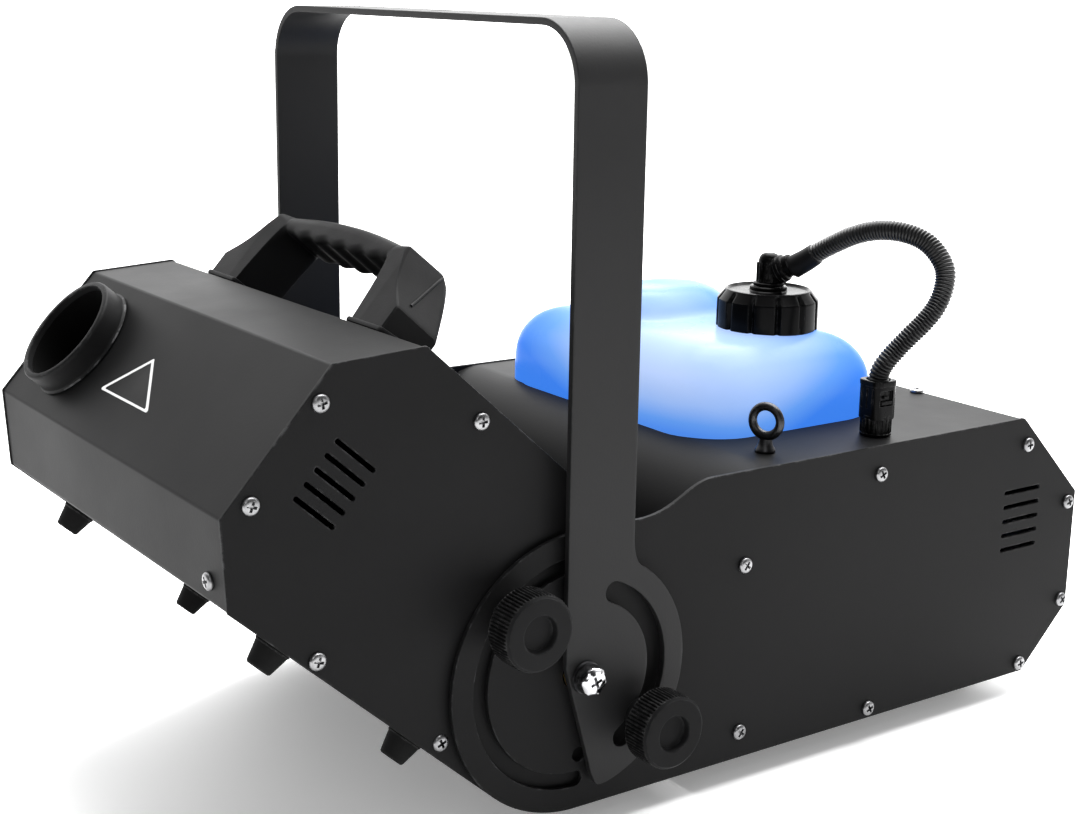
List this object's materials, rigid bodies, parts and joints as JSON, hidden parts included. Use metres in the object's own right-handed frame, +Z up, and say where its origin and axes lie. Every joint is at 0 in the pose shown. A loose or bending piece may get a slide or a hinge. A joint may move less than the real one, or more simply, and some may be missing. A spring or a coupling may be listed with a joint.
{
  "type": "fog machine",
  "caption": "Stage fog machine with a tilting nozzle head, a level base with a lift-out lit fluid tank, a hanging yoke and clamp knobs.",
  "frame": {"origin": "centre of the machine's box in plan, on the plane of the base's feet", "axes": "+Z up, +Y from the nozzle towards the rear connector panel, +X towards the side with the hose and the eyebolt"},
  "size_m": [0.2986, 0.4678, 0.3334],
  "materials": {
    "powder_coat": "fine-textured black powder coat",
    "black_plastic": "fine satin moulding",
    "gloss_black": "polished moulding",
    "rubber": "matt",
    "zinc_steel": "bright plated",
    "steel": "plain sheet",
    "brass": "machined",
    "aluminium": "cast and machined",
    "circuit_board": "solder-masked board",
    "tank_plastic": "translucent, lit from below",
    "screen": "clear over a dark display"
  },
  "bodies": {
    "base": {"base_side_panel_right": "powder_coat", "base_side_panel_left": "powder_coat", "base_cover": "powder_coat", "base_floor_pan": "powder_coat", "base_rear_panel": "powder_coat", "power_inlet": "black_plastic", "fuse_holder": "black_plastic", "dmx_in_socket": "black_plastic", "dmx_out_socket": "black_plastic", "switch_frame": "black_plastic", "tank_tray": "black_plastic", "display_bezel": "black_plastic", "pickup_hose": "black_plastic", "hose_gland": "gloss_black", "pivot_bolt_right": "zinc_steel", "pivot_bolt_left": "zinc_steel", "remote_socket": "zinc_steel", "eyebolt": "steel", "transformer": "steel", "fluid_pump": "steel", "pivot_bush_right": "brass", "pivot_bush_left": "brass", "power_supply": "aluminium", "control_board": "circuit_board", "tank_led_board": "circuit_board", "display_window": "screen", "base_foot_1": "rubber", "base_foot_2": "rubber", "base_foot_3": "rubber", "base_foot_4": "rubber"},
    "head": {"head_shell": "powder_coat", "head_side_panel_right": "powder_coat", "head_side_panel_left": "powder_coat", "nozzle_collar": "black_plastic", "nozzle_tip": "brass", "heater_block": "aluminium", "thermal_cut_out": "brass", "carry_handle": "black_plastic", "head_foot_1": "rubber", "head_foot_2": "rubber", "head_foot_3": "rubber", "head_foot_4": "rubber"},
    "yoke": {"hanging_yoke": "powder_coat"},
    "head_knob_right": {"head_clamp_knob_right": "black_plastic"},
    "head_knob_left": {"head_clamp_knob_left": "black_plastic"},
    "yoke_knob_right": {"yoke_clamp_knob_right": "black_plastic"},
    "yoke_knob_left": {"yoke_clamp_knob_left": "black_plastic"},
    "tank": {"fluid_tank": "tank_plastic", "cap_elbow": "gloss_black", "pickup_tube": "tank_plastic"},
    "cap": {"tank_cap": "gloss_black"},
    "rocker": {"power_rocker": "black_plastic"},
    "fuse_knob": {"fuse_cap": "black_plastic"},
    "button_1": {"menu_button_1": "black_plastic"},
    "button_2": {"menu_button_2": "black_plastic"},
    "button_3": {"menu_button_3": "black_plastic"},
    "button_4": {"menu_button_4": "black_plastic"}
  },
  "joints": [
    {"name": "head_tilt", "type": "hinge", "parent": "base", "child": "head", "pos_m": [0, -0.0785, 0.0725], "axis": [1, 0, 0], "range_deg": [-25, 110]},
    {"name": "yoke_swing", "type": "hinge", "parent": "base", "child": "yoke", "pos_m": [0, -0.0785, 0.0725], "axis": [1, 0, 0], "range_deg": [-42, 0]},
    {"name": "head_knob_turn_right", "type": "hinge", "parent": "head", "child": "head_knob_right", "pos_m": [0.132, -0.11362, 0.10374], "axis": [1, 0, 0], "continuous": true},
    {"name": "yoke_knob_turn_right", "type": "hinge", "parent": "base", "child": "yoke_knob_right", "pos_m": [0.136, -0.05013, 0.04953], "axis": [1, 0, 0], "continuous": true},
    {"name": "head_knob_turn_left", "type": "hinge", "parent": "head", "child": "head_knob_left", "pos_m": [-0.132, -0.11362, 0.10374], "axis": [-1, 0, 0], "continuous": true},
    {"name": "yoke_knob_turn_left", "type": "hinge", "parent": "base", "child": "yoke_knob_left", "pos_m": [-0.136, -0.05013, 0.04953], "axis": [-1, 0, 0], "continuous": true},
    {"name": "tank_lift", "type": "slide", "parent": "base", "child": "tank", "axis": [0, 0, 1], "range_m": [0, 0.12], "deforming": ["pickup_hose"]},
    {"name": "cap_turn", "type": "hinge", "parent": "tank", "child": "cap", "pos_m": [0.03, 0.0985, 0.192], "axis": [0, 0, 1], "continuous": true},
    {"name": "power_rocker_tilt", "type": "hinge", "parent": "base", "child": "rocker", "pos_m": [-0.02, 0.2275, 0.072], "axis": [1, 0, 0], "range_deg": [0, 20]},
    {"name": "fuse_cap_turn", "type": "hinge", "parent": "base", "child": "fuse_knob", "pos_m": [-0.046, 0.2295, 0.072], "axis": [0, 1, 0], "range_deg": [0, 90]},
    {"name": "menu_button_1_press", "type": "slide", "parent": "base", "child": "button_1", "axis": [0, -0.7071, -0.7071], "range_m": [0, 0.0012], "stiffness_N_per_m": 150},
    {"name": "menu_button_2_press", "type": "slide", "parent": "base", "child": "button_2", "axis": [0, -0.7071, -0.7071], "range_m": [0, 0.0012], "stiffness_N_per_m": 150},
    {"name": "menu_button_3_press", "type": "slide", "parent": "base", "child": "button_3", "axis": [0, -0.7071, -0.7071], "range_m": [0, 0.0012], "stiffness_N_per_m": 150},
    {"name": "menu_button_4_press", "type": "slide", "parent": "base", "child": "button_4", "axis": [0, -0.7071, -0.7071], "range_m": [0, 0.0012], "stiffness_N_per_m": 150}
  ]
}
